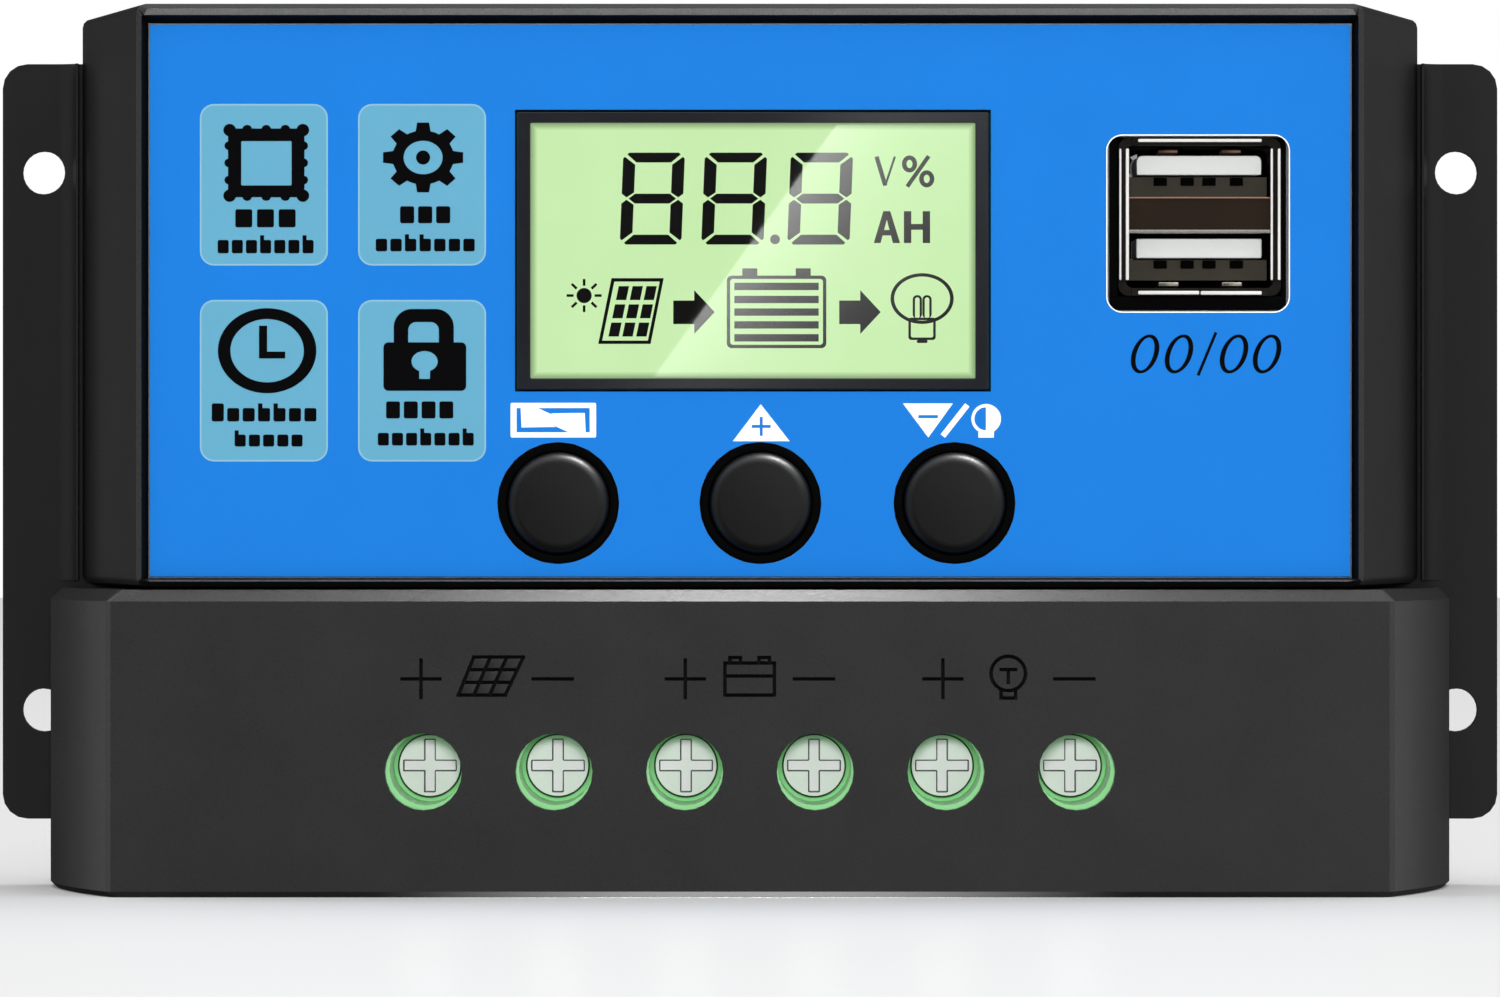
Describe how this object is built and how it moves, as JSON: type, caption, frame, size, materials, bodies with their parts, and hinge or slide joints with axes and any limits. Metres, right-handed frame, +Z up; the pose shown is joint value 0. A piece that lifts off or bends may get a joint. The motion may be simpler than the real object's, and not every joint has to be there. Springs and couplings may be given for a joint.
{
  "type": "solar charge controller",
  "caption": "Wall-mounted solar charge controller with a backlit LCD, push buttons, a stacked USB socket and a screw terminal row under a separate cover.",
  "frame": {"origin": "middle of the terminal cover's underside, at the centre of the object's footprint", "axes": "+X to the viewer's right across the front, +Y from the front towards the wall, +Z up"},
  "size_m": [0.1334, 0.035, 0.0773],
  "materials": {
    "case_plastic": "satin",
    "black_aluminium": "black satin",
    "blue_label": "printed, satin",
    "black_trim": "gloss",
    "clear_window": "clear gloss",
    "lcd_glass": "gloss",
    "light_guide": "gloss",
    "green_board": "satin",
    "terminal_green": "satin",
    "zinc_steel": "satin",
    "tinned_brass": "tinned",
    "nickel_shell": "bright",
    "white_insulator": "satin",
    "black_resin": "matt",
    "grey_pad": "matt"
  },
  "bodies": {
    "housing": {"mounting_plate": "black_aluminium", "display_cover": "case_plastic", "terminal_cover": "case_plastic", "front_label": "blue_label", "lcd_frame": "black_trim", "lcd_window": "clear_window", "lcd_glass": "lcd_glass", "lcd_backlight": "light_guide", "lcd_pin_strip": "tinned_brass", "display_board": "green_board", "main_board": "green_board", "board_link_header": "tinned_brass", "input_capacitor": "nickel_shell", "usb_inductor": "black_resin", "controller_chip": "black_resin", "insulating_pad": "grey_pad", "transistor_clamp_bar": "zinc_steel", "clamp_bar_screw": "zinc_steel", "board_screw_left": "zinc_steel", "board_screw_right": "zinc_steel", "display_cover_screw_left": "zinc_steel", "display_cover_screw_right": "zinc_steel", "terminal_cover_screw_left": "zinc_steel", "terminal_cover_screw_right": "zinc_steel", "terminal_block": "terminal_green", "usb_shell": "nickel_shell", "usb_divider": "black_resin", "usb_upper_tongue": "white_insulator", "usb_lower_tongue": "white_insulator", "power_transistor_1": "black_resin", "power_transistor_2": "black_resin", "power_transistor_3": "black_resin", "power_transistor_4": "black_resin", "menu_switch_body": "black_resin", "up_switch_body": "black_resin", "down_switch_body": "black_resin", "solar_plus_contact": "tinned_brass", "solar_minus_contact": "tinned_brass", "battery_plus_contact": "tinned_brass", "battery_minus_contact": "tinned_brass", "load_plus_contact": "tinned_brass", "load_minus_contact": "tinned_brass"},
    "menu_button": {"menu_button_cap": "black_trim", "menu_switch_stem": "black_trim"},
    "up_button": {"up_button_cap": "black_trim", "up_switch_stem": "black_trim"},
    "down_button": {"down_button_cap": "black_trim", "down_switch_stem": "black_trim"},
    "solar_plus_screw": {"solar_plus_screw": "zinc_steel"},
    "solar_plus_clamp": {"solar_plus_clamp": "tinned_brass"},
    "solar_minus_screw": {"solar_minus_screw": "zinc_steel"},
    "solar_minus_clamp": {"solar_minus_clamp": "tinned_brass"},
    "battery_plus_screw": {"battery_plus_screw": "zinc_steel"},
    "battery_plus_clamp": {"battery_plus_clamp": "tinned_brass"},
    "battery_minus_screw": {"battery_minus_screw": "zinc_steel"},
    "battery_minus_clamp": {"battery_minus_clamp": "tinned_brass"},
    "load_plus_screw": {"load_plus_screw": "zinc_steel"},
    "load_plus_clamp": {"load_plus_clamp": "tinned_brass"},
    "load_minus_screw": {"load_minus_screw": "zinc_steel"},
    "load_minus_clamp": {"load_minus_clamp": "tinned_brass"}
  },
  "joints": [
    {"name": "menu_press", "type": "slide", "parent": "housing", "child": "menu_button", "axis": [0, 1, 0], "range_m": [0, 0.0005], "stiffness_N_per_m": 3000},
    {"name": "up_press", "type": "slide", "parent": "housing", "child": "up_button", "axis": [0, 1, 0], "range_m": [0, 0.0005], "stiffness_N_per_m": 3000},
    {"name": "down_press", "type": "slide", "parent": "housing", "child": "down_button", "axis": [0, 1, 0], "range_m": [0, 0.0005], "stiffness_N_per_m": 3000},
    {"name": "solar_plus_screw_turn", "type": "hinge", "parent": "housing", "child": "solar_plus_screw", "pos_m": [-0.02805, 0, 0.0111], "axis": [0, 1, 0], "range_deg": [0, 1286]},
    {"name": "solar_plus_clamp_rise", "type": "slide", "parent": "housing", "child": "solar_plus_clamp", "axis": [0, -1, 0], "range_m": [0, 0.0025]},
    {"name": "solar_minus_screw_turn", "type": "hinge", "parent": "housing", "child": "solar_minus_screw", "pos_m": [-0.01683, 0, 0.0111], "axis": [0, 1, 0], "range_deg": [0, 1286]},
    {"name": "solar_minus_clamp_rise", "type": "slide", "parent": "housing", "child": "solar_minus_clamp", "axis": [0, -1, 0], "range_m": [0, 0.0025]},
    {"name": "battery_plus_screw_turn", "type": "hinge", "parent": "housing", "child": "battery_plus_screw", "pos_m": [-0.00561, 0, 0.0111], "axis": [0, 1, 0], "range_deg": [0, 1286]},
    {"name": "battery_plus_clamp_rise", "type": "slide", "parent": "housing", "child": "battery_plus_clamp", "axis": [0, -1, 0], "range_m": [0, 0.0025]},
    {"name": "battery_minus_screw_turn", "type": "hinge", "parent": "housing", "child": "battery_minus_screw", "pos_m": [0.00561, 0, 0.0111], "axis": [0, 1, 0], "range_deg": [0, 1286]},
    {"name": "battery_minus_clamp_rise", "type": "slide", "parent": "housing", "child": "battery_minus_clamp", "axis": [0, -1, 0], "range_m": [0, 0.0025]},
    {"name": "load_plus_screw_turn", "type": "hinge", "parent": "housing", "child": "load_plus_screw", "pos_m": [0.01683, 0, 0.0111], "axis": [0, 1, 0], "range_deg": [0, 1286]},
    {"name": "load_plus_clamp_rise", "type": "slide", "parent": "housing", "child": "load_plus_clamp", "axis": [0, -1, 0], "range_m": [0, 0.0025]},
    {"name": "load_minus_screw_turn", "type": "hinge", "parent": "housing", "child": "load_minus_screw", "pos_m": [0.02805, 0, 0.0111], "axis": [0, 1, 0], "range_deg": [0, 1286]},
    {"name": "load_minus_clamp_rise", "type": "slide", "parent": "housing", "child": "load_minus_clamp", "axis": [0, -1, 0], "range_m": [0, 0.0025]}
  ],
  "couplings": [
    {"joint": "solar_plus_screw_turn", "follows": "solar_plus_clamp_rise", "rad_per_m": 8976},
    {"joint": "solar_minus_screw_turn", "follows": "solar_minus_clamp_rise", "rad_per_m": 8976},
    {"joint": "battery_plus_screw_turn", "follows": "battery_plus_clamp_rise", "rad_per_m": 8976},
    {"joint": "battery_minus_screw_turn", "follows": "battery_minus_clamp_rise", "rad_per_m": 8976},
    {"joint": "load_plus_screw_turn", "follows": "load_plus_clamp_rise", "rad_per_m": 8976},
    {"joint": "load_minus_screw_turn", "follows": "load_minus_clamp_rise", "rad_per_m": 8976}
  ]
}
